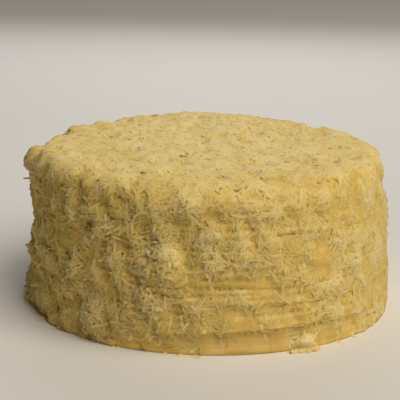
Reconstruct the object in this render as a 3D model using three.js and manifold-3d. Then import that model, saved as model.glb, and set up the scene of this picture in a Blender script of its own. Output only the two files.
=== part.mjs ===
// A round, uncut yema cake: one solid of iced sponge under a coat of finely grated cheese.
// Millimetres, +Z up. The origin is the middle of the flat base, and the front faces -Y.
// Angles round the cake are degrees from the front towards +X.
import * as THREE from "three";
import { mergeVertices } from "three/addons/utils/BufferGeometryUtils.js";
import Module from "manifold-3d";

// Driving dimensions of the iced cake
const SIDE_RADIUS = 98;
const CAKE_HEIGHT = 82.5;
const TOP_TAPER = 4;
const FOOT_FLARE = 2;
const FLARE_HEIGHT = 30;
const DOME_RISE = 2;
const RIM_RADIUS = 8;

// The foot of the icing is a plain band under the lowest ledge, set back where no cheese fills it
const BAND_HEIGHT = 12.5;
const BAND_SETBACK = 3;
const BAND_FILL = 0.8;

// Spatula ledges round the side: each lip stands out, and cheese evens out a share of it
const LEDGE_HEIGHTS = [BAND_HEIGHT, 26, 36.5, 49, 61];
const LEDGE_LIP = 1.5;
const LEDGE_UNDERCUT = 1;
const LEDGE_STEP = 0.9;
const LEDGE_EVENED = 0.85;

// How a ledge rises and falls on its way round: waves in a turn, height, and the shift at each ledge
const LEDGE_WAVES = [
  { turns: 2, rise: 1.1, shift: 2.1 },
  { turns: 5, rise: 0.6, shift: 1 },
];

// The coat of cheese: its depth, and the lumps that it settles in
const TOP_COAT = 2.6;
const SIDE_COAT = 1.7;
const LUMP_RISE = 1.2;
const LUMP_LENGTH = [10, 30];
const LUMP_WAVES = 11;

// Where the icing shows in front: angle, height, half width in degrees, half height, and depth of the dent
const FRONT_PATCHES = [
  { angle: 13, height: 5, halfWidth: 33, halfHeight: 9, dent: 0 },
  { angle: 16, height: 19, halfWidth: 29, halfHeight: 7, dent: 0 },
  { angle: 4, height: 37, halfWidth: 8, halfHeight: 8, dent: 0 },
  { angle: 33, height: 38, halfWidth: 12, halfHeight: 6, dent: 0.5 },
  { angle: 23, height: 64, halfWidth: 6, halfHeight: 6, dent: 0 },
  { angle: 66, height: 25, halfWidth: 9, halfHeight: 9, dent: 0 },
  { angle: -88, height: 45, halfWidth: 15, halfHeight: 11, dent: 4.5 },
];

// The patches behind are like those in front, and each size steps through its range by its own share
const BACK_PATCHES = 9;
const BACK_ANGLE = [95, 320];
const BACK_HEIGHT = { range: [4, 56], step: 0.618 };
const BACK_HALF_WIDTH = { range: [6, 16], step: 0.755 };
const BACK_HALF_HEIGHT = { range: [5, 9], step: 0.57 };
const BACK_DENT = { range: [0, 1], step: 0.414 };

// Single shreds large enough to show, with the rule that spreads them
const GOLDEN_ANGLE = 180 * (3 - Math.sqrt(5));
const TOP_SHREDS = 74;
const RIM_SHREDS = 28;
const SIDE_SHREDS = 104;
const STRAY_SHARE = 0.15;
const SHRED_LENGTH = [9, 17];
const RIM_SHRED_SIZE = 0.8;
const SHRED_WIDTH = 1.8;
const SHRED_DEPTH = 1.1;
const SHRED_BURIED = 0.2;
const SHRED_LIFT = [0.4, 2.6];
const SHRED_BOW = 0.22;
const SHRED_FLOOR = 3;

// Clumps of cheese that stand out: angle, height, radius, and how far the middle stands off the side
const CLUMPS = [
  { angle: -13, height: 50, radius: 6.5, stand: -1.5 },
  { angle: -18, height: 31, radius: 5.5, stand: -1 },
  { angle: -82, height: 80, radius: 7, stand: -1.5 },
  { angle: 30, height: 3.5, radius: 6.5, stand: 4.5 },
  { angle: 152, height: 46, radius: 6, stand: -1 },
  { angle: 228, height: 60, radius: 6, stand: -1 },
];
const CLUMP_FLATNESS = 0.7;
const CLUMP_ROUGHNESS = 0.26;
const CLUMP_SHREDS = 2;
const CLUMP_SHRED_SIZE = 0.6;
const CLUMP_SHRED_ROOT = 0.5;

// Facets
const AROUND = 60;
const RIM_STEPS = 4;
const TOP_STEPS = 8;
const SHRED_STEPS = 2;
const RAY_START = 40;
const WELD = 1e-4;

const SEED = 7;
const CAKE_COLOUR = 0xd9bd7c;
const CAKE_ROUGHNESS = 0.62;

const { degToRad, radToDeg, euclideanModulo, lerp, smoothstep } = THREE.MathUtils;
const random = seededRandom(SEED);
const wasm = await Module();
wasm.setup();

// A repeatable stream of numbers from 0 to 1
function seededRandom(seed) {
  let state = seed;
  return () => {
    state = (state + 0x6d2b79f5) | 0;
    let mixed = Math.imul(state ^ (state >>> 15), 1 | state);
    mixed = (mixed + Math.imul(mixed ^ (mixed >>> 7), 61 | mixed)) ^ mixed;
    return ((mixed ^ (mixed >>> 14)) >>> 0) / 2 ** 32;
  };
}

function between([low, high]) {
  return lerp(low, high, random());
}

function anyWay() {
  return new THREE.Vector3(random() - 0.5, random() - 0.5, random() - 0.5).normalize();
}

// Unit direction out from the axis
function outward(angle) {
  const turn = degToRad(angle);
  return new THREE.Vector3(Math.sin(turn), -Math.cos(turn), 0);
}

function angleOf(point) {
  return radToDeg(Math.atan2(point.x, -point.y));
}

// Smooth lumps: plane waves in seeded directions, from about -1 to 1
function lumpWaves() {
  return Array.from({ length: LUMP_WAVES }, () => ({
    direction: anyWay().multiplyScalar((2 * Math.PI) / between(LUMP_LENGTH)),
    phase: 2 * Math.PI * random(),
  }));
}

function lumpAt(point, waves) {
  const total = waves.reduce((sum, wave) => sum + Math.sin(point.dot(wave.direction) + wave.phase), 0);
  return total / Math.sqrt(waves.length);
}

function stepThrough({ range, step }, i) {
  return lerp(...range, (i * step) % 1);
}

// All patches of bare icing, front and back
function barePatches() {
  const behind = Array.from({ length: BACK_PATCHES }, (_, i) => ({
    angle: lerp(...BACK_ANGLE, (i + 0.5) / BACK_PATCHES),
    height: stepThrough(BACK_HEIGHT, i),
    halfWidth: stepThrough(BACK_HALF_WIDTH, i),
    halfHeight: stepThrough(BACK_HALF_HEIGHT, i),
    dent: stepThrough(BACK_DENT, i),
  }));
  return [...FRONT_PATCHES, ...behind];
}

// How much of a patch a place is in: 1 in its middle, and falling to 0 past its edge
function shareOf(patch, angle, height) {
  const turn = euclideanModulo(angle - patch.angle + 180, 360) - 180;
  const across = turn / patch.halfWidth;
  const up = (height - patch.height) / patch.halfHeight;
  return Math.exp(-((across * across + up * up) ** 2));
}

// Share of the surface that cheese covers: 1 on the top, less in the bare patches of the side
function coverAt(angle, height, patches) {
  return patches.reduce((cover, patch) => cover * (1 - shareOf(patch, angle, height)), 1);
}

function dentAt(angle, height, patches) {
  return patches.reduce((dent, patch) => dent + patch.dent * shareOf(patch, angle, height), 0);
}

function wanderAt(angle, ledge) {
  const waveAt = ({ turns, rise, shift }) => rise * Math.sin(turns * degToRad(angle) + shift * ledge);
  return LEDGE_WAVES.reduce((sum, wave) => sum + waveAt(wave), 0);
}

// Radius of the plain side, which leans in a little towards the top and spreads at the foot
function sideRadius(height) {
  const taper = TOP_TAPER * smoothstep(height, FLARE_HEIGHT, CAKE_HEIGHT);
  const flare = FOOT_FLARE * (1 - smoothstep(height, 0, FLARE_HEIGHT));
  return SIDE_RADIUS - taper + flare;
}

// The half section from the middle of the base to the middle of the top. Each row holds its point,
// how far the ledges push it out, which ledge it follows and how far it is set back under the lowest.
function sectionRows() {
  const row = (radius, height, more) => ({ radius, height, push: 0, ledge: -1, setback: 0, ...more });
  const rows = [row(0, 0), row(sideRadius(0), 0, { setback: BAND_SETBACK })];
  LEDGE_HEIGHTS.forEach((height, ledge) => {
    const setback = ledge === 0 ? BAND_SETBACK - LEDGE_UNDERCUT : 0;
    const under = height - LEDGE_STEP;
    const next = LEDGE_HEIGHTS[ledge + 1] ?? CAKE_HEIGHT - RIM_RADIUS;
    const middle = (height + next) / 2;
    rows.push(row(sideRadius(under), under, { ledge, push: -LEDGE_UNDERCUT, setback }));
    rows.push(row(sideRadius(height), height, { ledge, push: LEDGE_LIP }));
    rows.push(row(sideRadius(middle), middle, { ledge }));
  });
  const inset = sideRadius(CAKE_HEIGHT) - RIM_RADIUS;
  for (let i = 0; i <= RIM_STEPS; i++) {
    const turn = (Math.PI / 2) * (i / RIM_STEPS);
    const rise = RIM_RADIUS * (Math.sin(turn) - 1);
    rows.push(row(inset + RIM_RADIUS * Math.cos(turn), CAKE_HEIGHT + rise));
  }
  for (let i = 1; i <= TOP_STEPS; i++) {
    const share = 1 - i / TOP_STEPS;
    rows.push(row(inset * share, CAKE_HEIGHT + DOME_RISE * (1 - share * share)));
  }
  return rows;
}

// Moves a point of the plain section to the surface: ledges and dents in the icing, lumps in the coat
function raise(point, row, patches, waves) {
  const angle = angleOf(point);
  const cover = coverAt(angle, row.height, patches);
  const turned = smoothstep(row.height, CAKE_HEIGHT - RIM_RADIUS, CAKE_HEIGHT);
  const slope = (Math.PI / 2) * turned;
  const coat = cover * (lerp(SIDE_COAT, TOP_COAT, turned) + LUMP_RISE * lumpAt(point, waves));
  const ledge = (1 - LEDGE_EVENED * cover) * row.push;
  const setback = (1 - BAND_FILL * cover) * row.setback;
  const normal = outward(angle).multiplyScalar(row.radius > 0 ? Math.cos(slope) : 0);
  normal.z = Math.sin(slope);
  point.addScaledVector(normal, coat + ledge - setback - dentAt(angle, row.height, patches));
  if (row.ledge >= 0) point.z += wanderAt(angle, row.ledge);
}

// The iced cake with its ledges, and the lumps of the coat
function icedCake(patches) {
  const rows = sectionRows();
  const waves = lumpWaves();
  const section = rows.map(({ radius, height }) => new THREE.Vector2(radius, height));
  const geometry = new THREE.LatheGeometry(section, AROUND).rotateX(Math.PI / 2);
  const position = geometry.attributes.position;
  for (let i = 0; i < position.count; i++) {
    const point = new THREE.Vector3().fromBufferAttribute(position, i);
    const row = rows[i % rows.length];
    if (row.radius > 0 || row.height > 0) raise(point, row, patches, waves);
    position.setXYZ(i, point.x, point.y, point.z);
  }
  return geometry;
}

// A closed geometry with its shared corners merged
function welded(geometry) {
  const bare = geometry.clone();
  bare.deleteAttribute("normal");
  bare.deleteAttribute("uv");
  return mergeVertices(bare, WELD);
}

function solidFrom(geometry) {
  const merged = welded(geometry);
  const triVerts = [];
  for (let i = 0; i < merged.index.count; i += 3) {
    const [a, b, c] = [0, 1, 2].map((k) => merged.index.getX(i + k));
    if (a !== b && b !== c && c !== a) triVerts.push(a, b, c);
  }
  const mesh = new wasm.Mesh({
    numProp: 3,
    vertProperties: merged.attributes.position.array,
    triVerts: new Uint32Array(triVerts),
  });
  return new wasm.Manifold(mesh);
}

function geometryFrom(solid) {
  const mesh = solid.getMesh();
  const geometry = new THREE.BufferGeometry();
  geometry.setAttribute("position", new THREE.BufferAttribute(mesh.vertProperties, 3));
  geometry.setIndex(new THREE.BufferAttribute(mesh.triVerts, 1));
  geometry.computeVertexNormals();
  return geometry;
}

// Where a ray from outside meets the cake, with the way back out
function surfaceAt(cake, from, towards) {
  const inward = towards.clone().normalize();
  const hit = new THREE.Raycaster(from, inward).intersectObject(cake)[0];
  return { point: hit.point, normal: inward.negate() };
}

function topSpot(cake, radius, angle) {
  const from = outward(angle).multiplyScalar(radius).setZ(CAKE_HEIGHT + RAY_START);
  return surfaceAt(cake, from, new THREE.Vector3(0, 0, -1));
}

function sideSpot(cake, angle, height) {
  const out = outward(angle);
  const from = out.clone().multiplyScalar(SIDE_RADIUS + RAY_START).setZ(height);
  return surfaceAt(cake, from, out.negate());
}

function rimSpot(cake, angle) {
  const out = outward(angle);
  const towards = new THREE.Vector3(-out.x, -out.y, -1);
  const corner = out.multiplyScalar(SIDE_RADIUS - RIM_RADIUS).setZ(CAKE_HEIGHT - RIM_RADIUS);
  return surfaceAt(cake, corner.addScaledVector(towards, -RAY_START), towards);
}

// One shred: a bowed strip that lies on the surface, its middle sunk a little and its ends free
function shred({ point, normal }, along, size) {
  const tangent = along.clone().addScaledVector(normal, -along.dot(normal)).normalize();
  const across = new THREE.Vector3().crossVectors(normal, tangent);
  const half = (between(SHRED_LENGTH) * size) / 2;
  const bow = half * SHRED_BOW * between([-1, 1]);
  const stationAt = (share, lift) =>
    point
      .clone()
      .addScaledVector(tangent, half * share)
      .addScaledVector(across, bow * share * share)
      .addScaledVector(normal, lift);
  const path = new THREE.CatmullRomCurve3([
    stationAt(-1, between(SHRED_LIFT)),
    stationAt(0, SHRED_DEPTH / 2 - SHRED_BURIED),
    stationAt(1, between(SHRED_LIFT)),
  ]);
  const strip = new THREE.Shape([
    new THREE.Vector2(-SHRED_DEPTH / 2, -SHRED_WIDTH / 2),
    new THREE.Vector2(SHRED_DEPTH / 2, 0),
    new THREE.Vector2(-SHRED_DEPTH / 2, SHRED_WIDTH / 2),
  ]);
  return new THREE.ExtrudeGeometry(strip, { steps: SHRED_STEPS, extrudePath: path });
}

// Shreds spread evenly over the top, over the rim and down the side
function scatteredShreds(cake, patches) {
  const shreds = [];
  for (let i = 0; i < TOP_SHREDS; i++) {
    const radius = (SIDE_RADIUS - RIM_RADIUS) * Math.sqrt((i + 0.5) / TOP_SHREDS);
    shreds.push(shred(topSpot(cake, radius, i * GOLDEN_ANGLE), anyWay(), 1));
  }
  for (let i = 0; i < RIM_SHREDS; i++) {
    const angle = (360 * (i + random() / 2)) / RIM_SHREDS;
    shreds.push(shred(rimSpot(cake, angle), anyWay(), RIM_SHRED_SIZE));
  }
  for (let i = 0; i < SIDE_SHREDS; i++) {
    const angle = i * GOLDEN_ANGLE;
    const height = lerp(SHRED_FLOOR, CAKE_HEIGHT - RIM_RADIUS, (i + 0.5) / SIDE_SHREDS);
    if (random() > coverAt(angle, height, patches) + STRAY_SHARE) continue;
    shreds.push(shred(sideSpot(cake, angle, height), anyWay(), 1));
  }
  return shreds;
}

// A clump: a rough flattened ball half sunk in the coat, with shreds that stick out of it
function clump(cake, { angle, height, radius, stand }) {
  const spot = sideSpot(cake, angle, Math.min(height, CAKE_HEIGHT - RIM_RADIUS));
  const middle = spot.point.clone().addScaledVector(spot.normal, stand).setZ(height);
  const ball = welded(new THREE.IcosahedronGeometry(radius, 1));
  const position = ball.attributes.position;
  for (let i = 0; i < position.count; i++) {
    const corner = new THREE.Vector3().fromBufferAttribute(position, i);
    corner.multiplyScalar(1 + CLUMP_ROUGHNESS * between([-1, 1]));
    corner.addScaledVector(spot.normal, (CLUMP_FLATNESS - 1) * corner.dot(spot.normal));
    corner.add(middle);
    position.setXYZ(i, corner.x, corner.y, Math.max(corner.z, 0));
  }
  const pieces = [ball];
  for (let i = 0; i < CLUMP_SHREDS; i++) {
    const normal = anyWay().add(spot.normal).normalize();
    const point = middle.clone().addScaledVector(normal, radius * CLUMP_SHRED_ROOT);
    pieces.push(shred({ point, normal }, anyWay(), CLUMP_SHRED_SIZE));
  }
  return pieces;
}

function clearOfFloor(geometry) {
  geometry.computeBoundingBox();
  return geometry.boundingBox.min.z >= 0;
}

// The largest body of a union, so that sealed gaps are filled and loose scraps are left out
function mainBody(solid) {
  return solid.decompose().reduce((best, body) => (body.volume() > best.volume() ? body : best));
}

function buildCake() {
  const patches = barePatches();
  const base = new THREE.Mesh(icedCake(patches));
  const shreds = scatteredShreds(base, patches);
  const clumps = CLUMPS.flatMap((each) => clump(base, each));
  const toppings = [...shreds, ...clumps].filter(clearOfFloor).map(solidFrom);
  const whole = toppings.reduce((solid, topping) => solid.add(topping), solidFrom(base.geometry));
  const material = new THREE.MeshStandardMaterial({
    color: CAKE_COLOUR,
    roughness: CAKE_ROUGHNESS,
    metalness: 0,
  });
  const mesh = new THREE.Mesh(geometryFrom(mainBody(whole)), material);
  mesh.name = "cake";
  return mesh;
}

const yemaCake = new THREE.Group();
yemaCake.add(buildCake());

export default yemaCake;
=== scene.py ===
"""The looks of a round yema cake: custard icing with the marks of a spatula, under a coat of grated cheese.

Shapes are worked out in millimetres and become metres when a mesh is made. +Z is up and the front faces -Y.
Angles round the cake are degrees from the front towards +X.
"""

import math
from dataclasses import dataclass

import bpy
import numpy as np
from mathutils import Matrix, Vector
from mathutils.kdtree import KDTree


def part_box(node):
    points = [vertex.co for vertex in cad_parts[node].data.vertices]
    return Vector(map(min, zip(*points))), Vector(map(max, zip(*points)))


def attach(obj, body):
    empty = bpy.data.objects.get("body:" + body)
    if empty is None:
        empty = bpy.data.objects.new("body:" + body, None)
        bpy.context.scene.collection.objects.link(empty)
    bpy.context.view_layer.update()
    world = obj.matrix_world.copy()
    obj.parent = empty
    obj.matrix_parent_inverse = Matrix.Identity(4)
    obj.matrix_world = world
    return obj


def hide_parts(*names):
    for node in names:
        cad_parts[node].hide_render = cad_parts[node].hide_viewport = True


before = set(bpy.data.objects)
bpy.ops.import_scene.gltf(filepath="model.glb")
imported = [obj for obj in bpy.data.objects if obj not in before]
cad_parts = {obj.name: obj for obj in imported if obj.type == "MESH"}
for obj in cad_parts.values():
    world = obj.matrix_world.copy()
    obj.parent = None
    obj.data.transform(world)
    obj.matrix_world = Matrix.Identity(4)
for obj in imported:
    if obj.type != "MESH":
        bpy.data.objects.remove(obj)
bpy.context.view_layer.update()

MM = 0.001
TINY = 1e-9
SEED = 24

# The iced cake, inside the shreds that stand off the solid's plain side and top
SIDE_STAND = 4.7
TOP_STAND = 8.3
LOW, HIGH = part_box("cake")
SIDE_RADIUS = (HIGH.x - LOW.x + HIGH.y - LOW.y) / 4 / MM - SIDE_STAND
CAKE_HEIGHT = HIGH.z / MM - TOP_STAND
TOP_TAPER = 4
FOOT_FLARE = 1
FLARE_HEIGHT = 30
DOME_RISE = 2.5
RIM_RADIUS = 8

# The cake leans: its foot is this far to the right of its top
FOOT_SHIFT = 2

# The foot of the icing is a plain band under the lowest ledge, set back where no cheese fills it
BAND_SETBACK = 1.8
BAND_FILL = 0.8

# Ledges that the spatula left round the side: each lip stands out over the icing below it
LEDGE_HEIGHTS = (12.5, 26, 36.5, 49, 61)
LEDGE_LIP = 1.1
LEDGE_UNDERCUT = 0.6
LEDGE_STEP = 0.5
LEDGE_EVENED = 0.85
LEDGE_FALL = 1.6

# A ledge fades in and out on its way round, about a mean and within limits
LEDGE_MEAN = 0.5
LEDGE_STRENGTH = (0.1, 0.75)

# How a ledge rises and falls on its way round: waves in a turn, height, and the shift at each ledge
LEDGE_WAVES = ((2, 1.1, 2.1), (5, 0.6, 1))

# Fine marks of the spatula along the side, and soft lumps in the icing
STREAK_RISE = 0.28
STREAK_LENGTH = (35, 90)
STREAK_HEIGHT = (1.6, 5)
LUMP_RISE = 0.45
LUMP_LENGTH = (14, 34)
WAVE_COUNT = 90

# Matted cheese under the shreds, which fills the icing out where it is covered
SIDE_FELT = 0.9
TOP_FELT = 2.6

# Facets of the icing
AROUND = 400
BAND_ROWS = 13
RIM_ROWS = 12
TOP_ROWS = 56


@dataclass(frozen=True)
class Patch:
    """A place on the side where the icing shows, with sizes in degrees round the cake and mm up it."""

    angle: float
    height: float
    half_width: float
    half_height: float
    dent: float
    bareness: float


FRONT_PATCHES = (
    Patch(14, 4, 36, 9, 0, 0.95),
    Patch(18, 19, 28, 7, 0, 0.55),
    Patch(4, 37, 8, 8, 0, 0.5),
    Patch(33, 38, 12, 6, 0.5, 0.6),
    Patch(23, 64, 6, 6, 0, 0.8),
    Patch(-17.5, 54, 3, 8, 0.6, 0.95),
    Patch(-13, 36, 5, 3, 0.3, 0.8),
    Patch(66, 25, 9, 9, 0, 0.5),
    Patch(-88, 45, 15, 11, 4.5, 0.2),
)

# The patches behind are like those in front, and each size steps through its range by its own share
BACK_PATCHES = 9
BACK_ANGLE = (95, 320)
BACK_HEIGHT = (4, 56, 0.618)
BACK_HALF_WIDTH = (6, 16, 0.755)
BACK_HALF_HEIGHT = (5, 9, 0.57)
BACK_DENT = (0, 1, 0.414)
BACK_BARENESS = 0.7

# Where the coat is thin
THIN_PATCHES = (Patch(8, 33, 36, 17, 0, 0.15),)

# Elsewhere it lies in mounds, full and pale, with hollows between them: on the side and on the top. The
# shreds are painted paler on the mounds and deeper in the hollows, as painted light and shade.
MOUND_LENGTH = (9, 20)
MOUND_RISE = (0.75, 0.9)
MOUND_LOOSE = (0.6, 2.0)
MOUND_UNEVEN = (0.8, 0.55)
# Painted light and shade: how much paler shreds are on the mounds and deeper in the hollows
MOUND_PAINTED_SHADE = 0.24
HOLLOW_COVER = 0.06

# Small lumps in the mounds: on the side and on the top
CRUMB_LENGTH = (4.5, 9)
CRUMB_RISE = (0.25, 0.45)

# The surface that cheese is laid on: points on the icing and on the ground round its foot
ICING_SPOTS = 110_000
GROUND_SPOTS = 9_000
GROUND_REACH = 12
TOP_FACING = 0.8

# How far the ways out from the icing are evened to those of the plain form: in the coat and on a clump
WAY_EVENED = 0.7
CLUMP_EVENED = 0.1

# How shreds rest on each other, pressed into what they lie on, and flatter where the coat is thin.
# The heap's limit is for a pressed and for a loose coat.
HEAPING = 0.4
HEAP_LIMIT = (0.5, 1.6)
BRIDGE_ROUNDS = 2
BRIDGE_HEIGHT = 0.3
PRESSED = 0.52
THIN_DEPTH = 0.5
FOOT_REACH = 7

# The coat is pressed flat on one side of the cake and looser on the other, round an angle in degrees
LOOSE_ANGLE = -70
LOOSE_DEPTH = (0.7, 1.8)
LOOSE_LIFT = (0.6, 2.5)
TOP_LOOSENESS = 0.05

# How late a shred's ends rise from the coat
LIFT_CURVE = 2.5


@dataclass(frozen=True)
class Kind:
    """One kind of shred. Sizes are ranges in mm, and turn and twist are spreads in degrees from end to end.

    A shred's section is a ridge: its width is that of its pressed-in foot, and its depth is what stands out.
    """

    name: str
    length: tuple
    width: tuple
    depth: tuple
    stations: int
    turn: float
    lift: float
    twist: float
    tint: tuple


# Shreds on the top are paler than those on the side: partly because the side's shreds are moist from the
# icing, partly as painted light on the top
TOP_SHRED = Kind("top_shreds", (5, 11), (1.3, 2.0), (0.25, 0.45), 6, 55, 0.2, 5, (0.58, 0.88))
TOP_FINE = Kind("top_fine_shreds", (3, 6.5), (0.9, 1.5), (0.22, 0.4), 5, 50, 0.2, 6, (0.58, 0.88))
SIDE_SHRED = Kind("side_shreds", (5, 10), (1.3, 2.1), (0.24, 0.44), 6, 55, 0.2, 6, (0.32, 0.55))
SIDE_FINE = Kind("side_fine_shreds", (3, 6.5), (0.9, 1.4), (0.22, 0.38), 5, 50, 0.2, 8, (0.32, 0.55))
SMEAR = Kind("pressed_shreds", (4, 10), (1.2, 2.0), (0.12, 0.24), 5, 60, 0, 4, (0.3, 0.55))
LONG_SHRED = Kind("long_shreds", (11, 17), (1.1, 1.7), (0.24, 0.42), 8, 70, 0.2, 6, (0.4, 0.66))
CURL = Kind("curls", (8, 13), (1.1, 1.7), (0.24, 0.42), 9, 190, 0.2, 6, (0.4, 0.66))
FLAKE = Kind("flakes", (4, 8), (3, 4.6), (0.15, 0.3), 6, 30, 0.15, 4, (0.4, 0.65))
CLUMP_SHRED = Kind("clumps", (4, 8), (1.0, 1.6), (0.26, 0.48), 6, 60, 0.2, 6, (0.45, 0.7))
LOOSE_SHRED = Kind("loose_bits", (4, 9), (1.1, 1.7), (0.4, 0.7), 8, 150, 0.3, 10, (1.1, 1.3))

# A single shred has a length and a turn of its own, which take the place of these
SINGLE_SHRED = Kind("single_shreds", (7, 14), (1.5, 2.1), (0.4, 0.6), 10, 0, 0.1, 5, (0.9, 1.1))
COAT_KINDS = (TOP_SHRED, TOP_FINE, SIDE_SHRED, SIDE_FINE, SMEAR, LONG_SHRED, CURL, FLAKE)
KINDS = (*COAT_KINDS, CLUMP_SHRED, LOOSE_SHRED, SINGLE_SHRED)


@dataclass(frozen=True)
class Scatter:
    """Tufts of one kind: how many, how many shreds in each, how far these start and head apart.

    The last value is the share of tufts that are spread evenly, however thin the coat is.
    """

    kind: Kind
    on_top: bool
    tufts: int
    shreds: tuple
    radius: float
    spread: float
    even: float = 0


SCATTERS = (
    Scatter(TOP_SHRED, True, 800, (2, 7), 3.0, 60),
    Scatter(TOP_FINE, True, 1300, (2, 7), 3.0, 70),
    Scatter(SIDE_SHRED, False, 900, (2, 6), 3.0, 50),
    Scatter(SIDE_FINE, False, 1500, (2, 7), 3.0, 65),
    Scatter(SMEAR, False, 4200, (1, 1), 0, 0, 0.4),
    Scatter(LONG_SHRED, True, 300, (1, 1), 0, 0),
    Scatter(LONG_SHRED, False, 420, (1, 1), 0, 0, 0.1),
    Scatter(CURL, True, 170, (1, 1), 0, 0),
    Scatter(CURL, False, 200, (1, 1), 0, 0, 0.2),
    Scatter(FLAKE, True, 240, (1, 1), 0, 0),
    Scatter(FLAKE, False, 300, (1, 1), 0, 0),
)

# Share of a tuft's radius that its shreds start apart
TUFT_SPREAD = 0.6

# On the side most shreds were pressed on upwards, and the rest lie any way
UPRIGHT_SHARE = 0.6
UPRIGHT_SPREAD = 32

# A shred's section has two feet and a ridge, and tapers towards both ends
CORNERS = 3
END_TAPER = 0.7
TAPER_LENGTH = 0.12
ROLL_SPREAD = 5

# Light goes through cheese, so a shred's faces look less steep than they are
SOFTNESS = 0.68
EDGE_LEAN = 0.4

# On the flat sheet of all shreds, the margin of each and the width of its ends, as shares of its square
SHEET_MARGIN = 0.12
SHEET_CAP = 0.1

# Tints run from 0, deep yellow, to 1, pale. They vary by chance and are paler over bare icing. Paler where a
# shred lies high is painted light, with painted shade on shreds low in the heap; paler where the coat was
# pressed, on the top and the right side facing the key light, is painted light.
TINT_SPREAD = 0.07
HEIGHT_PAINTED_LIGHT = 0.2
PRESSED_PAINTED_LIGHT = 0.15
TINT_BARE = 0.12

# Painted shade: a shred's feet are deeper in colour than its ridge, standing in for light at the foot that
# has come through more cheese
SECTION_PAINTED_SHADE = (-0.42, -0.42, 0.26)

# Towards the rim the top is a little yellower: painted shade, which leaves the middle of the top paler as
# painted light
RIM_PAINTED_SHADE = 0.22
RIM_REACH = (40, 85)


@dataclass(frozen=True)
class Clump:
    """A tangle of short shreds on a swelling of the coat, with how far this stands out and how wide it is."""

    angle: float
    height: float
    rise: float
    radius: float
    count: int


# A clump with no shreds of its own is a swelling that lifts the coat over it
CLUMPS = (
    Clump(-14, 44.5, 4.2, 10, 0),
    Clump(-13, 54, 0.3, 6, 50),
    Clump(-12, 49, 0.3, 6, 60),
    Clump(-22, 45, 0.6, 5, 35),
    Clump(-19, 28, 2, 5, 0),
    Clump(-18, 31, 0.3, 4, 40),
    Clump(-84, 78, 5, 6, 90),
    Clump(30, 2, 3.5, 5, 150),
    Clump(152, 46, 1.2, 5, 70),
    Clump(228, 60, 1.2, 5, 70),
    Clump(183, 84, 1.8, 50, 0),
)
CLUMP_SPREAD = 0.5

# In a clump near the ground the shreds lie any way
LOW_CLUMP = 10

# Loose bits that lie along the foot: from which angle to which, and how many
LOOSE_BITS = ((-66, -34, 3), (-34, -4, 6), (-4, 40, 1), (40, 66, 6), (105, 294, 36))
LOOSE_REACH = 3


@dataclass(frozen=True)
class Single:
    """One shred by itself: where it starts, how far left of straight up it heads, its length and its turn."""

    angle: float
    height: float
    heading: float
    length: float
    turn: float


SINGLES = (
    Single(-12, 39, 180, 14, 8),
    Single(-8.2, 46.6, 192, 9, 5),
    Single(-10.3, 21, 185, 8, -20),
    Single(-7.7, 20.6, 180, 8.5, 25),
    Single(-4.8, 17.5, 138, 8, 0),
    Single(-16.7, 13, 182, 7, 0),
    Single(-12.7, 17.8, 157, 8, 10),
    Single(4.1, 12.8, 180, 9, 12),
    Single(4.5, 11, 265, 9, 30),
    Single(15.6, 16.3, 202, 11.5, 0),
    Single(7, 36, 234, 7, 0),
    Single(-2, 60, 10, 13, -170),
    Single(-23, 4, 290, 12, 230),
    Single(-20.5, 5, 250, 9, 110),
    Single(-14.5, 4, 270, 13, 270),
    Single(-7.5, 5, 235, 6.5, 0),
    Single(-4.8, 1.5, 305, 6.5, 0),
    Single(28, 7, 70, 9, 130),
    Single(31, 8, 200, 10, -140),
    Single(29, 3, 110, 9, 60),
    Single(32, 5, 250, 9, 90),
    Single(30, 1, 265, 10, -30),
    Single(33, 0, 230, 9, 20),
)

# Colours of cheese by its tint
CHEESE_STOPS = (
    (0.0, (0.79, 0.495, 0.065)),
    (0.35, (0.765, 0.55, 0.137)),
    (0.7, (0.845, 0.645, 0.23)),
    (1.0, (0.92, 0.78, 0.42)),
)

# Noise makes up a share of the tint and of the icing's colour
NOISE_SHARE = 0.2

# Scales of noise are in waves a metre, and depths of bumps in metres
CHEESE_TINT_SCALE = 120
CHEESE_ROUGH_SCALE = 700
CHEESE_ROUGHNESS = (0.5, 0.7)
CHEESE_GLOSS = 0.05
CHEESE_BUMP_SCALE = 1400
CHEESE_BUMP = 0.2
CHEESE_BUMP_DEPTH = 0.0002

# Bare icing, the matted cheese of the side and the paler mat of the top
COAT_STOPS = (
    (0.0, (0.95, 0.685, 0.25)),
    (0.25, (0.75, 0.50, 0.105)),
    (0.7, (0.77, 0.53, 0.125)),
    (1.0, (0.83, 0.61, 0.20)),
)
SIDE_MAT = 0.6
TOP_MAT = 0.88
ICING_TINT_SCALE = 60
ICING_ROUGH_SCALE = 90
ICING_ROUGHNESS = (0.3, 0.46)

# Bumps in the icing lie along it, so they are close together up the cake
ICING_BUMP_SCALE = 60
ICING_BUMP_DETAIL = 5
ICING_BUMP_STRETCH = (1, 1, 9)
ICING_BUMP = 0.35
ICING_BUMP_DEPTH = 0.0006

# How far light spreads in the icing: its share, its spread by colour and its scale in metres
ICING_SOFTNESS = 0.5
ICING_SPREAD = (1, 0.85, 0.45)
ICING_SPREAD_SCALE = 0.0025

# The floor: how far it reaches in metres, and its pale shades
FLOOR_REACH = 6
FLOOR_STOPS = ((0, (0.82, 0.80, 0.77)), (1, (0.86, 0.84, 0.81)))
FLOOR_SCALE = 3
FLOOR_ROUGHNESS = 0.7

# Camera, as fitted to the view of the cake: place in mm, turns in degrees, focal length in picture widths
CAMERA_PLACE = (-4.4, -700, 235.7)
CAMERA_PITCH = 14.52
CAMERA_ROLL = 1.14
FOCAL_WIDTHS = 3.24
SENSOR_WIDTH = 36

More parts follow.
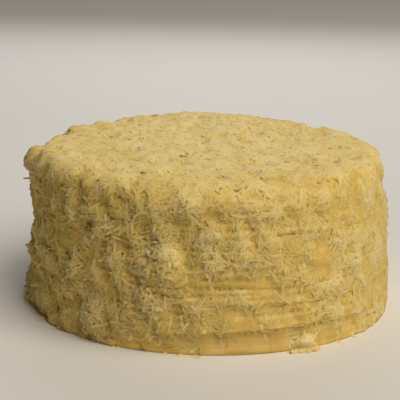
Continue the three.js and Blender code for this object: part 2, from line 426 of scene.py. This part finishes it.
# Light: the key's way round and up in degrees, how far and how wide it is in metres, and its power
KEY_ANGLE = 46
KEY_ELEVATION = 54
KEY_DISTANCE = 3.5
KEY_SIZE = 3.2
KEY_POWER = 115
KEY_COLOUR = (1, 0.93, 0.82)
FILL_COLOUR = (1, 0.94, 0.84)
FILL_STRENGTH = 0.01

# A weak pale light from behind: its place and size in metres, and its power
BOUNCE_PLACE = (0, 0.9, 0.65)
BOUNCE_SIZE = 0.9
BOUNCE_POWER = 2.8
BOUNCE_COLOUR = (0.93, 0.95, 0.97)


def lerp(low, high, share):
    return low + (high - low) * share


def smoothstep(value, low, high):
    share = np.clip((value - low) / (high - low), 0, 1)
    return share * share * (3 - 2 * share)


def outward(angle):
    """Unit direction out from the axis."""
    turn = np.radians(angle)
    return np.stack([np.sin(turn), -np.cos(turn), np.zeros_like(turn)], -1)


def angle_of(points):
    return np.degrees(np.arctan2(points[..., 0], -points[..., 1]))


def unit(vectors):
    return vectors / np.maximum(np.linalg.norm(vectors, axis=-1, keepdims=True), TINY)


def plane_waves(rng, lengths, heights=None):
    """Seeded plane waves as (wave vectors, phases), of other lengths up the cake where heights says so."""
    ways = unit(rng.normal(size=(WAVE_COUNT, 3))) * 2 * np.pi / rng.uniform(*lengths, (WAVE_COUNT, 1))
    if heights:
        ways[:, 2] = 2 * np.pi / rng.uniform(*heights, WAVE_COUNT)
    return ways, rng.uniform(0, 2 * np.pi, WAVE_COUNT)


def ripple(points, waves):
    """The waves' sum at each point, mostly from -1 to 1."""
    ways, phases = waves
    return np.sin(points @ ways.T + phases).sum(-1) / math.sqrt(len(phases))


def stepped(low_high_step, i):
    low, high, step = low_high_step
    return lerp(low, high, i * step % 1)


def bare_patches():
    """The patches in front, and those behind."""
    behind = [
        Patch(
            lerp(*BACK_ANGLE, (i + 0.5) / BACK_PATCHES),
            stepped(BACK_HEIGHT, i),
            stepped(BACK_HALF_WIDTH, i),
            stepped(BACK_HALF_HEIGHT, i),
            stepped(BACK_DENT, i),
            BACK_BARENESS,
        )
        for i in range(BACK_PATCHES)
    ]
    return [*FRONT_PATCHES, *behind]


def share_of(patch, angle, height):
    """How much of a patch a place is in: 1 in its middle, and falling to 0 past its edge."""
    turn = (angle - patch.angle + 180) % 360 - 180
    across = turn / patch.half_width
    up = (height - patch.height) / patch.half_height
    return np.exp(-((across**2 + up**2) ** 2))


def cover_at(patches, angle, height):
    return np.prod([1 - share_of(p, angle, height) for p in patches], axis=0)


def dent_at(patches, angle, height):
    return np.sum([p.dent * share_of(p, angle, height) for p in patches], axis=0)


def coated_at(patches, points):
    """Share of the full coat at each point, from 0 to 1."""
    angle, height = angle_of(points), points[..., 2]
    return np.prod([1 - p.bareness * share_of(p, angle, height) for p in (*patches, *THIN_PATCHES)], axis=0)


def on_top(points):
    """How far each point is over the rim: 0 on the side and 1 on the top."""
    return smoothstep(points[..., 2], CAKE_HEIGHT - RIM_RADIUS, CAKE_HEIGHT)


def density_at(patches, mounds, points):
    """How much cheese lies at each point: about 1 in the full coat, and little in its hollows."""
    uneven = 1 + lerp(*MOUND_UNEVEN, on_top(points)) * ripple(points, mounds)
    coat = coated_at(patches, points) * np.clip(uneven, HOLLOW_COVER, None)
    return np.maximum(coat, np.clip(swelling_at(points), 0, 1))


def looseness_at(points):
    """How loose the coat is at each point, from 0 where it was pressed flat to 1."""
    around = 0.5 + 0.5 * np.cos(np.radians(angle_of(points) - LOOSE_ANGLE))
    return lerp(around, TOP_LOOSENESS, on_top(points))


def side_radius(height):
    """Radius of the plain side, which leans in a little towards the top and spreads at the foot."""
    taper = TOP_TAPER * smoothstep(height, FLARE_HEIGHT, CAKE_HEIGHT)
    flare = FOOT_FLARE * (1 - smoothstep(height, 0, FLARE_HEIGHT))
    return SIDE_RADIUS - taper + flare


def ledge_lines(angles):
    """Heights round the cake of the foot, of each ledge and of the rim's lower edge."""
    lines = [np.zeros_like(angles)]
    around = np.radians(angles)
    for i, height in enumerate(LEDGE_HEIGHTS):
        wander = sum(rise * np.sin(turns * around + shift * i) for turns, rise, shift in LEDGE_WAVES)
        lines.append(height + wander)
    lines.append(np.full_like(angles, CAKE_HEIGHT - RIM_RADIUS))
    return lines


def side_rows(angles, patches, rng):
    """Rows of points up the side, from foot to rim: bands that lean out to a lip at their lower edge."""
    lines = ledge_lines(angles)
    streaks = plane_waves(rng, STREAK_LENGTH, STREAK_HEIGHT)
    strengths = plane_waves(rng, STREAK_LENGTH)
    rows = []
    for band, (line, following) in enumerate(zip(lines, lines[1:])):
        under = following - LEDGE_STEP
        for share in np.linspace(0, 1, BAND_ROWS):
            height = lerp(line, under, share)
            point = outward(angles) * side_radius(height)[:, None]
            point[:, 2] = height
            cover = cover_at(patches, angles, height)
            lip = LEDGE_LIP * (1 - share) ** LEDGE_FALL if band else -BAND_SETBACK
            push = lip - LEDGE_UNDERCUT * share**2
            evened = 1 - (LEDGE_EVENED if band else BAND_FILL) * cover
            strength = np.clip(LEDGE_MEAN + ripple(point + band * SIDE_RADIUS, strengths), *LEDGE_STRENGTH)
            raised = push * evened * (strength if band > 1 else 1) + SIDE_FELT * cover
            raised = raised + STREAK_RISE * ripple(point, streaks) - dent_at(patches, angles, height)
            rows.append(point + outward(angles) * raised[:, None])
    return rows


def top_rows(angles):
    """Rows of points round the rim and in to the middle of the top."""
    inset = side_radius(CAKE_HEIGHT) - RIM_RADIUS
    across, up = RIM_RADIUS + SIDE_FELT, RIM_RADIUS + TOP_FELT
    section = []
    for turn in np.linspace(0, np.pi / 2, RIM_ROWS)[1:]:
        section.append((inset + across * np.cos(turn), CAKE_HEIGHT - RIM_RADIUS + up * np.sin(turn)))
    for share in np.linspace(1, 0, TOP_ROWS, endpoint=False)[1:]:
        section.append((inset * share, CAKE_HEIGHT + TOP_FELT + DOME_RISE * (1 - share * share)))
    rows = []
    for radius, height in section:
        point = outward(angles) * radius
        point[:, 2] = height
        rows.append(point)
    return rows


def middle_of(clump):
    place = outward(clump.angle) * side_radius(clump.height)
    place[2] = clump.height
    return place


def swelling_at(points):
    """How far the clumps make the coat swell at each point."""
    away = [((points - middle_of(c)) ** 2).sum(-1) / c.radius**2 for c in CLUMPS]
    return np.sum([c.rise * np.exp(-(distance**2)) for c, distance in zip(CLUMPS, away)], axis=0)


def plain_way(points):
    """The way out from the plain side, rim or top at each point."""
    inset = side_radius(CAKE_HEIGHT) - RIM_RADIUS
    radius = np.hypot(points[..., 0], points[..., 1])
    way = outward(angle_of(points)) * np.maximum(radius - inset, 0)[..., None]
    way[..., 2] = np.maximum(points[..., 2] - CAKE_HEIGHT + RIM_RADIUS, 0)
    return unit(way)


def ring_faces(count):
    """Triangles between rings of points, and to the middles of foot and top, the two points after them."""
    ids = np.arange(count * AROUND).reshape(-1, AROUND)
    a, b, c, d = ids[:-1], np.roll(ids[:-1], -1, 1), np.roll(ids[1:], -1, 1), ids[1:]
    sides = [np.stack([a, b, c], -1).reshape(-1, 3), np.stack([a, c, d], -1).reshape(-1, 3)]
    foot, middle = ids.size, ids.size + 1
    base = np.stack([np.roll(ids[0], -1), ids[0], np.full(AROUND, foot)], -1)
    crown = np.stack([ids[-1], np.roll(ids[-1], -1), np.full(AROUND, middle)], -1)
    return np.concatenate([*sides, base, crown])


def icing_shape(patches, mounds, rng):
    """Points and triangles of the icing: rings of points from the foot to the top, closed at both ends."""
    angles = np.arange(AROUND) * 360 / AROUND
    rings = np.stack(side_rows(angles, patches, rng) + top_rows(angles))
    lumps = LUMP_RISE * ripple(rings, plane_waves(rng, LUMP_LENGTH))
    rise = lerp(MOUND_RISE[0] * lerp(*MOUND_LOOSE, looseness_at(rings)), MOUND_RISE[1], on_top(rings))
    crumbs = lerp(*CRUMB_RISE, on_top(rings)) * ripple(rings, plane_waves(rng, CRUMB_LENGTH))
    swelling = swelling_at(rings)
    calm = np.clip(1 - swelling, 0, 1)
    lumps += (rise * ripple(rings, mounds) * calm + crumbs) * coated_at(patches, rings)
    lumps[0] = 0
    rings += plain_way(rings) * (lumps + swelling)[..., None]
    rings[..., 0] += FOOT_SHIFT * (1 - rings[..., 2] / CAKE_HEIGHT)
    ends = np.array([[0, 0, 0], [0, 0, CAKE_HEIGHT + TOP_FELT + DOME_RISE]])
    return np.concatenate([rings.reshape(-1, 3), ends]), ring_faces(len(rings))


def spots_on(points, faces, count, rng):
    """Points spread evenly over triangles, with the way out at each."""
    corners = points[faces]
    normal = np.cross(corners[:, 1] - corners[:, 0], corners[:, 2] - corners[:, 0])
    area = np.linalg.norm(normal, axis=1)
    shares = np.cumsum(area) / area.sum()
    chosen = np.searchsorted(shares, (np.arange(count) + 0.5) / count)
    first, second = rng.random(count), rng.random(count)
    folded = first + second > 1
    first, second = np.where(folded, 1 - first, first), np.where(folded, 1 - second, second)
    a, b, c = corners[chosen].transpose(1, 0, 2)
    return a + (b - a) * first[:, None] + (c - a) * second[:, None], unit(normal[chosen])


class Coat:
    """The surface that cheese lies on: spots, their ways out, and how full, loose and high the coat is."""

    def __init__(self, spots, normals, density, bareness, looseness):
        self.spots = [Vector(p) for p in spots]
        self.normals = [Vector(n) for n in normals]
        self.density = density
        self.fullness = np.clip(density, 0, 1)
        self.bareness = bareness
        self.looseness = looseness
        self.heaped = np.zeros(len(spots))
        self.tree = KDTree(len(spots))
        for i, spot in enumerate(self.spots):
            self.tree.insert(spot, i)
        self.tree.balance()

    def under(self, point):
        """The spot nearest a point, and the point moved on to the surface there."""
        _, spot, _ = self.tree.find(point)
        normal = self.normals[spot]
        return spot, point - normal * (point - self.spots[spot]).dot(normal)

    def heap(self, point, reach, level):
        for _, spot, _ in self.tree.find_range(point, reach):
            self.heaped[spot] = max(self.heaped[spot], level)


@dataclass
class Strand:
    """One shred as it lies: its middle line, the ways out along it, and its section."""

    kind: Kind
    centres: np.ndarray
    normals: np.ndarray
    width: float
    depth: float
    roll: float
    twist: float
    tint: float


def march(coat, root, heading, steps, length, turn, sway):
    """A walk over the surface that turns as it goes: its points, the ways out and the heaped heights."""
    spot, point = root, coat.spots[root].copy()
    points, normals, heights = [], [], []
    for k in range(steps + 1):
        normal = coat.normals[spot]
        points.append(point)
        normals.append(normal)
        heights.append(coat.heaped[spot])
        bend = math.radians(turn + sway * (2 * k / steps - 1)) / steps
        flat = (heading - normal * heading.dot(normal)).normalized()
        heading = flat * math.cos(bend) + normal.cross(flat) * math.sin(bend)
        spot, point = coat.under(point + heading * (length / steps))
    return points, normals, np.array(heights)


def resting(heights):
    """Levels of a strand that lies on these heights: it bridges small dips and sags into larger ones."""
    levels = heights.copy()
    for _ in range(BRIDGE_ROUNDS):
        levels[1:-1] = np.maximum(levels[1:-1], (levels[:-2] + levels[2:]) / 2)
    return np.minimum(levels, heights + BRIDGE_HEIGHT)


def falls_off(kind, points):
    """Whether a shred would lie far out from the foot, or is of the coat and would reach the ground."""
    far = max(math.hypot(p.x, p.y) for p in points) > SIDE_RADIUS + FOOT_REACH
    return far or (kind in COAT_KINDS and min(p.z for p in points) <= 0)


def tint_and_painted_light_shift(coat, root, levels, rng):
    """How much paler a shred is: by chance, over bare icing, and by painted light and shade for its height,
    its hollow and the pressed side.
    """
    # Painted light on shreds that lie high in the heap, painted shade on those low in it
    shift = rng.normal(0, TINT_SPREAD) + HEIGHT_PAINTED_LIGHT * levels.mean()
    # Painted shade on shreds in the coat's hollows, painted light on its mounds
    shift += MOUND_PAINTED_SHADE * (coat.density[root] - 1) + TINT_BARE * coat.bareness[root]
    # Painted light on the pressed side of the coat, the top and the right, where the key light falls
    return shift + PRESSED_PAINTED_LIGHT * (1 - coat.looseness[root])


def lay(coat, root, heading, kind, tint, rng, single=None):
    """Lays a shred on the coat from a root spot and heaps the coat up under it. None if it would fall off."""
    steps = kind.stations - 1
    length, width, depth = (rng.uniform(*sizes) for sizes in (kind.length, kind.width, kind.depth))
    loose = coat.looseness[root]
    turn, sway = rng.normal(0, kind.turn), rng.normal(0, kind.turn / 2)
    if single:
        length, turn = single.length, single.turn
    else:
        depth *= lerp(THIN_DEPTH, 1, coat.fullness[root]) * lerp(*LOOSE_DEPTH, loose)
    points, normals, heights = march(coat, root, heading, steps, length, turn, sway)
    if falls_off(kind, points):
        points, normals, heights = march(coat, root, -heading, steps, length, turn, sway)
    if falls_off(kind, points):
        return None
    levels = resting(np.minimum(heights, lerp(*HEAP_LIMIT, loose)))
    along = np.linspace(-1, 1, steps + 1)
    first, last = kind.lift * lerp(*LOOSE_LIFT, loose) * rng.exponential(size=2)
    lifts = np.where(along < 0, first, last) * np.abs(along) ** LIFT_CURVE
    out = np.array(normals)
    centres = np.array(points) + out * (levels + lifts)[:, None]
    for point, level in zip(points, levels):
        coat.heap(point, width / 2, level + depth * HEAPING)
    roll, twist = rng.normal(0, ROLL_SPREAD), rng.normal(0, kind.twist)
    tint += tint_and_painted_light_shift(coat, root, levels, rng)
    return Strand(kind, centres, out, width, depth, roll, twist, tint)


def any_way(rng):
    return Vector(rng.normal(size=3))


def side_way(rng):
    """A heading on the side: mostly up or down, or else any way."""
    if rng.random() > UPRIGHT_SHARE:
        return any_way(rng)
    lean = math.tan(math.radians(rng.normal(0, UPRIGHT_SPREAD)))
    across = Vector(rng.normal(size=2)).normalized() * lean
    return Vector((across.x, across.y, rng.choice((-1, 1))))


def turned(heading, normal, angle):
    """A heading turned on the surface by an angle in degrees."""
    flat = (heading - normal * heading.dot(normal)).normalized()
    turn = math.radians(angle)
    return flat * math.cos(turn) + normal.cross(flat) * math.sin(turn)


def lay_tuft(coat, root, heading, scatter, rng):
    """Shreds that start near one spot and head about the same way, fewer where the coat is thin."""
    tint = rng.uniform(*scatter.kind.tint)
    if scatter.on_top:
        # Painted shade on the top's shreds towards the rim
        tint -= RIM_PAINTED_SHADE * smoothstep(coat.spots[root].xy.length, *RIM_REACH)
    count = rng.integers(*scatter.shreds, endpoint=True) * coat.fullness[root]
    strands = []
    for _ in range(max(1, round(count))):
        spot, _ = coat.under(coat.spots[root] + any_way(rng) * scatter.radius * TUFT_SPREAD)
        way = turned(heading, coat.normals[spot], rng.normal(0, scatter.spread))
        strands.append(lay(coat, spot, way, scatter.kind, tint, rng))
    return strands


def scattered(coat, facing_up, on_icing, rng):
    """All the shreds of the coat, laid in a mixed order."""
    top = np.flatnonzero(on_icing & facing_up)
    side = np.flatnonzero(on_icing & ~facing_up)
    waiting = []
    for scatter in SCATTERS:
        spots = top if scatter.on_top else side
        density = coat.density[spots]
        chances = lerp(density, density.mean(), scatter.even)
        for root in rng.choice(spots, scatter.tufts, p=chances / chances.sum()):
            waiting.append((scatter, root))
    strands = []
    for i in rng.permutation(len(waiting)):
        scatter, root = waiting[i]
        heading = any_way(rng) if scatter.on_top else side_way(rng)
        strands += lay_tuft(coat, root, heading, scatter, rng)
    return strands


def clumped(coat, rng):
    """Tangles of short shreds, each round one place."""
    strands = []
    for clump in CLUMPS:
        middle = Vector(middle_of(clump) + outward(clump.angle) * clump.rise)
        for _ in range(clump.count):
            spot, _ = coat.under(middle + any_way(rng) * clump.radius * CLUMP_SPREAD)
            tint = rng.uniform(*CLUMP_SHRED.tint)
            way = side_way(rng) if clump.height > LOW_CLUMP else any_way(rng)
            strands.append(lay(coat, spot, way, CLUMP_SHRED, tint, rng))
    return strands


def single_shreds(coat, rng):
    """Shreds by themselves where the icing is bare."""
    strands = []
    for single in SINGLES:
        place = Vector(outward(single.angle) * side_radius(single.height))
        place.z = single.height
        spot, _ = coat.under(place)
        way = turned(Vector((0, 0, 1)), coat.normals[spot], single.heading)
        tint = rng.uniform(*SINGLE_SHRED.tint)
        strands.append(lay(coat, spot, way, SINGLE_SHRED, tint, rng, single))
    return strands


def loose_bits(coat, rng):
    """Short shreds that lie along the foot."""
    strands = []
    for start, stop, count in LOOSE_BITS:
        for _ in range(count):
            out = SIDE_RADIUS + FOOT_FLARE - BAND_SETBACK + rng.exponential(LOOSE_REACH / 2)
            place = Vector(outward(rng.uniform(start, stop)) * min(out, SIDE_RADIUS + LOOSE_REACH))
            place.x += FOOT_SHIFT
            spot, _ = coat.under(place)
            way = any_way(rng)
            tint = rng.uniform(*LOOSE_SHRED.tint)
            strands.append(lay(coat, spot, way, LOOSE_SHRED, tint, rng))
    return strands


def strand_corners(strands):
    """Corners of the shreds' sections, by shred, station and corner, and the ways their triangles face."""
    centres = np.stack([s.centres for s in strands])
    normals = np.stack([s.normals for s in strands])
    along = unit(np.gradient(centres, axis=1))
    across = unit(np.cross(normals, along))
    out = np.cross(along, across)
    shares = np.linspace(-0.5, 0.5, centres.shape[1])
    roll = np.radians([s.roll + s.twist * shares for s in strands])[..., None]
    across, out = across * np.cos(roll) + out * np.sin(roll), out * np.cos(roll) - across * np.sin(roll)
    taper = lerp(END_TAPER, 1, smoothstep(0.5 - np.abs(shares), 0, TAPER_LENGTH))[None, :, None]
    wide = across * taper * np.array([s.width / 2 for s in strands])[:, None, None]
    ridge = out * taper * np.array([s.depth for s in strands])[:, None, None]
    foot = out * taper * PRESSED
    corners = np.stack([centres - wide - foot, centres + wide - foot, centres + ridge], 2)
    corners[..., 2] = np.maximum(corners[..., 2], 0)
    return corners, strand_ways(unit(lerp(out, normals, SOFTNESS)), across, along)


def strand_ways(out, across, along):
    """Ways that triangles' corners face: softly out on a shred's back, plainly under it and at its ends."""
    count, stations, _ = out.shape
    faces = strand_faces(1, stations)
    back = unit(np.stack([out - across * EDGE_LEAN, out + across * EDGE_LEAN, out], 2))
    ways = back.reshape(count, -1, 3)[:, faces]
    under = np.arange(0, len(faces) - 2, CORNERS)
    ways[:, under] = -out[:, faces[under] // CORNERS]
    ways[:, -2] = unit(out[:, 0] - along[:, 0])[:, None]
    ways[:, -1] = unit(out[:, -1] + along[:, -1])[:, None]
    return ways


def strand_faces(count, stations):
    """Triangles of the shreds: six along each stretch, and one at each end."""
    ring = np.arange(CORNERS)
    following = (ring + 1) % CORNERS
    one = []
    for k in range(stations - 1):
        here, there = CORNERS * k, CORNERS * (k + 1)
        one.append(np.stack([here + ring, here + following, there + following], -1))
        one.append(np.stack([here + ring, there + following, there + ring], -1))
    one.append([ring[::-1], CORNERS * (stations - 1) + ring])
    one = np.concatenate(one)
    return (one[None] + CORNERS * stations * np.arange(count)[:, None, None]).reshape(-1, 3)


def mesh_piece(name, points, faces, material):
    """A smooth mesh from arrays in mm, as a piece that stands for the cake's solid."""
    mesh = bpy.data.meshes.new(name)
    mesh.vertices.add(len(points))
    mesh.vertices.foreach_set("co", (points * MM).astype(np.float32).ravel())
    mesh.loops.add(faces.size)
    mesh.loops.foreach_set("vertex_index", faces.astype(np.int32).ravel())
    mesh.polygons.add(len(faces))
    mesh.polygons.foreach_set("loop_start", np.arange(0, faces.size, faces.shape[1], dtype=np.int32))
    mesh.update(calc_edges=True)
    mesh.shade_smooth()
    mesh.materials.append(material)
    piece = bpy.data.objects.new(name, mesh)
    bpy.context.scene.collection.objects.link(piece)
    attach(piece, "root")
    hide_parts("cake")
    return piece


def strand_places(count, stations):
    """Where the shreds' triangles lie on a flat sheet: each shred unrolled in its own square of a grid."""
    ring = np.arange(CORNERS) / CORNERS
    following = ring + 1 / CORNERS
    one = []
    for k in range(stations - 1):
        here, there = np.full((2, CORNERS), [[k], [k + 1]]) / (stations - 1)
        one.append(np.stack([(here, ring), (here, following), (there, following)]).transpose(2, 0, 1))
        one.append(np.stack([(here, ring), (there, following), (there, ring)]).transpose(2, 0, 1))
    one.append([[(0, 0), (0, 1), (SHEET_CAP, 0)], [(1, 0), (1, 1), (1 - SHEET_CAP, 0)]])
    one = lerp(SHEET_MARGIN, 1 - SHEET_MARGIN, np.concatenate(one))
    side = math.ceil(math.sqrt(count))
    squares = np.stack(np.divmod(np.arange(count), side), -1)
    return (one[None] + squares[:, None, None]) / side


def set_values(piece, name, values):
    """One value for each point of a piece, for its material to read."""
    attribute = piece.data.attributes.new(name, "FLOAT", "POINT")
    attribute.data.foreach_set("value", np.asarray(values, dtype=np.float32))


def strand_piece(kind, strands, material):
    """All shreds of one kind as one mesh, each with its tint and painted shade at its feet."""
    corners, ways = strand_corners(strands)
    points = corners.reshape(-1, 3)
    faces = strand_faces(len(strands), kind.stations)
    piece = mesh_piece(kind.name, points, faces, material)
    piece.data.normals_split_custom_set(ways.reshape(-1, 3))
    sheet = piece.data.uv_layers.new(name="OFBake")
    sheet.data.foreach_set("uv", strand_places(len(strands), kind.stations).astype(np.float32).ravel())
    # Painted shade at each shred's feet, with a paler ridge
    tints = np.array([s.tint for s in strands])[:, None, None] + np.array(SECTION_PAINTED_SHADE)
    set_values(piece, "tint", np.repeat(tints, kind.stations, 1).ravel())


def new_material(name):
    """A node material with its shader, ready for links."""
    material = bpy.data.materials.new(name)
    material.use_nodes = True
    return material, material.node_tree, material.node_tree.nodes["Principled BSDF"]


def add_node(tree, kind, **values):
    """A node with its inputs or properties set by name."""
    node = tree.nodes.new(kind)
    for name, value in values.items():
        label = name.replace("_", " ").title()
        if label in node.inputs:
            node.inputs[label].default_value = value
        else:
            setattr(node, name, value)
    return node


def colour_ramp(tree, factor, stops):
    ramp = add_node(tree, "ShaderNodeValToRGB")
    elements = ramp.color_ramp.elements
    while len(elements) < len(stops):
        elements.new(0.5)
    for element, (position, colour) in zip(elements, stops):
        element.position = position
        element.color = (*colour, 1)
    tree.links.new(factor, ramp.inputs["Fac"])
    return ramp.outputs["Color"]


def noise(tree, scale, detail=3, stretch=(1, 1, 1)):
    """Noise by place on the object, as a value from 0 to 1."""
    place = add_node(tree, "ShaderNodeTexCoord")
    mapping = add_node(tree, "ShaderNodeMapping", scale=stretch)
    texture = add_node(tree, "ShaderNodeTexNoise", scale=scale, detail=detail)
    tree.links.new(place.outputs["Object"], mapping.inputs["Vector"])
    tree.links.new(mapping.outputs["Vector"], texture.inputs["Vector"])
    return texture.outputs["Fac"]


def mapped(tree, value, low, high):
    node = add_node(tree, "ShaderNodeMapRange", to_min=low, to_max=high)
    tree.links.new(value, node.inputs["Value"])
    return node.outputs["Result"]


def bump(tree, shader, height, strength, distance):
    node = add_node(tree, "ShaderNodeBump", strength=strength, distance=distance)
    tree.links.new(height, node.inputs["Height"])
    tree.links.new(node.outputs["Normal"], shader.inputs["Normal"])


def soften(shader, weight, radius, scale):
    shader.inputs["Subsurface Weight"].default_value = weight
    shader.inputs["Subsurface Radius"].default_value = radius
    shader.inputs["Subsurface Scale"].default_value = scale


def cheese_material():
    """Cheese, coloured by each shred's tint."""
    material, tree, shader = new_material("cheese")
    tint = add_node(tree, "ShaderNodeAttribute", attribute_name="tint")
    mixed = add_node(tree, "ShaderNodeMath", operation="ADD")
    tree.links.new(mapped(tree, tint.outputs["Fac"], 0, 1 - NOISE_SHARE), mixed.inputs[0])
    tree.links.new(mapped(tree, noise(tree, CHEESE_TINT_SCALE), 0, NOISE_SHARE), mixed.inputs[1])
    tree.links.new(colour_ramp(tree, mixed.outputs["Value"], CHEESE_STOPS), shader.inputs["Base Color"])
    rough = mapped(tree, noise(tree, CHEESE_ROUGH_SCALE), *CHEESE_ROUGHNESS)
    tree.links.new(rough, shader.inputs["Roughness"])
    shader.inputs["Specular IOR Level"].default_value = CHEESE_GLOSS
    bump(tree, shader, noise(tree, CHEESE_BUMP_SCALE), CHEESE_BUMP, CHEESE_BUMP_DEPTH)
    return material


def icing_material():
    """Custard icing, which turns to matted cheese where the coat is full."""
    material, tree, shader = new_material("icing")
    coated = add_node(tree, "ShaderNodeAttribute", attribute_name="coated")
    mixed = add_node(tree, "ShaderNodeMath", operation="ADD")
    tree.links.new(coated.outputs["Fac"], mixed.inputs[0])
    tree.links.new(mapped(tree, noise(tree, ICING_TINT_SCALE), 0, NOISE_SHARE), mixed.inputs[1])
    tree.links.new(colour_ramp(tree, mixed.outputs["Value"], COAT_STOPS), shader.inputs["Base Color"])
    rough = mapped(tree, noise(tree, ICING_ROUGH_SCALE), *ICING_ROUGHNESS)
    tree.links.new(rough, shader.inputs["Roughness"])
    marks = noise(tree, ICING_BUMP_SCALE, ICING_BUMP_DETAIL, ICING_BUMP_STRETCH)
    bump(tree, shader, marks, ICING_BUMP, ICING_BUMP_DEPTH)
    soften(shader, ICING_SOFTNESS, ICING_SPREAD, ICING_SPREAD_SCALE)
    return material


def floor_material():
    material, tree, shader = new_material("floor")
    shade = colour_ramp(tree, noise(tree, FLOOR_SCALE), FLOOR_STOPS)
    tree.links.new(shade, shader.inputs["Base Color"])
    shader.inputs["Roughness"].default_value = FLOOR_ROUGHNESS
    return material


def add_lamp(name, place, size, power, colour):
    """A square area light that faces the cake."""
    light = bpy.data.lights.new(name, "AREA")
    light.size = size
    light.energy = power
    light.color = colour
    lamp = bpy.data.objects.new(name, light)
    lamp.location = place
    lamp.rotation_euler = place.to_track_quat("Z", "Y").to_euler()
    bpy.context.scene.collection.objects.link(lamp)


def add_lights():
    """A wide soft key light from the upper right, and a weak one from behind."""
    rise = math.radians(KEY_ELEVATION)
    way = Vector(outward(KEY_ANGLE)) * math.cos(rise) + Vector((0, 0, math.sin(rise)))
    add_lamp("key", way * KEY_DISTANCE, KEY_SIZE, KEY_POWER, KEY_COLOUR)
    add_lamp("bounce", Vector(BOUNCE_PLACE), BOUNCE_SIZE, BOUNCE_POWER, BOUNCE_COLOUR)


def add_stage():
    """A plain pale floor, the lights and a weak fill."""
    mesh = bpy.data.meshes.new("floor")
    corners = [(x * FLOOR_REACH, y * FLOOR_REACH, 0) for x, y in ((-1, -1), (1, -1), (1, 1), (-1, 1))]
    mesh.from_pydata(corners, [], [(0, 1, 2, 3)])
    mesh.materials.append(floor_material())
    floor = bpy.data.objects.new("floor", mesh)
    bpy.context.scene.collection.objects.link(floor)
    add_lights()
    world = bpy.data.worlds.new("studio")
    world.use_nodes = True
    background = world.node_tree.nodes["Background"]
    background.inputs["Color"].default_value = (*FILL_COLOUR, 1)
    background.inputs["Strength"].default_value = FILL_STRENGTH
    bpy.context.scene.world = world
    bpy.context.scene.view_settings.view_transform = "Standard"


def add_camera():
    camera = bpy.data.cameras.new("camera")
    camera.sensor_width = SENSOR_WIDTH
    camera.lens = FOCAL_WIDTHS * SENSOR_WIDTH
    holder = bpy.data.objects.new("camera", camera)
    holder.location = Vector(CAMERA_PLACE) * MM
    pitch = Matrix.Rotation(math.radians(90 - CAMERA_PITCH), 3, "X")
    holder.rotation_euler = (pitch @ Matrix.Rotation(math.radians(CAMERA_ROLL), 3, "Z")).to_euler()
    bpy.context.scene.collection.objects.link(holder)
    bpy.context.scene.camera = holder


def icing_spots(points, faces, rng):
    """Spots on the icing, but not under it, with their ways out evened."""
    standing = ~(points[faces][..., 2] <= 0).all(1)
    spots, normals = spots_on(points, faces[standing], ICING_SPOTS, rng)
    evened = lerp(WAY_EVENED, CLUMP_EVENED, np.clip(swelling_at(spots), 0, 1))
    return spots, unit(lerp(normals, plain_way(spots), evened[:, None]))


def ground_spots(rng):
    """Spots on the ground round the foot."""
    turns = rng.uniform(0, 360, GROUND_SPOTS)
    reach = SIDE_RADIUS + rng.uniform(-BAND_SETBACK, GROUND_REACH, GROUND_SPOTS)
    spots = outward(turns) * reach[:, None]
    spots[:, 0] += FOOT_SHIFT
    return spots, np.tile((0, 0, 1), (GROUND_SPOTS, 1))


def all_shreds(points, faces, patches, mounds, rng):
    """Every shred, laid on the icing and on the ground round it."""
    icing, ground = icing_spots(points, faces, rng), ground_spots(rng)
    spots, normals = (np.concatenate(pair) for pair in zip(icing, ground))
    on_icing = np.arange(len(spots)) < ICING_SPOTS
    density = np.where(on_icing, density_at(patches, mounds, spots), 1)
    coat = Coat(spots, normals, density, 1 - coated_at(patches, spots), looseness_at(spots))
    strands = scattered(coat, normals[:, 2] > TOP_FACING, on_icing, rng)
    strands += clumped(coat, rng)
    strands += single_shreds(coat, rng)
    strands += loose_bits(coat, rng)
    return [s for s in strands if s]


def add_cake():
    """The icing, and each kind of shred as one piece."""
    rng = np.random.default_rng(SEED)
    patches = bare_patches()
    mounds = plane_waves(rng, MOUND_LENGTH)
    points, faces = icing_shape(patches, mounds, rng)
    icing = mesh_piece("icing", points, faces, icing_material())
    mat = lerp(SIDE_MAT, TOP_MAT, on_top(points))
    set_values(icing, "coated", mat * np.clip(density_at(patches, mounds, points), 0, 1))
    strands = all_shreds(points, faces, patches, mounds, rng)
    cheese = cheese_material()
    for kind in KINDS:
        strand_piece(kind, [s for s in strands if s.kind is kind], cheese)


add_cake()
add_stage()
add_camera()
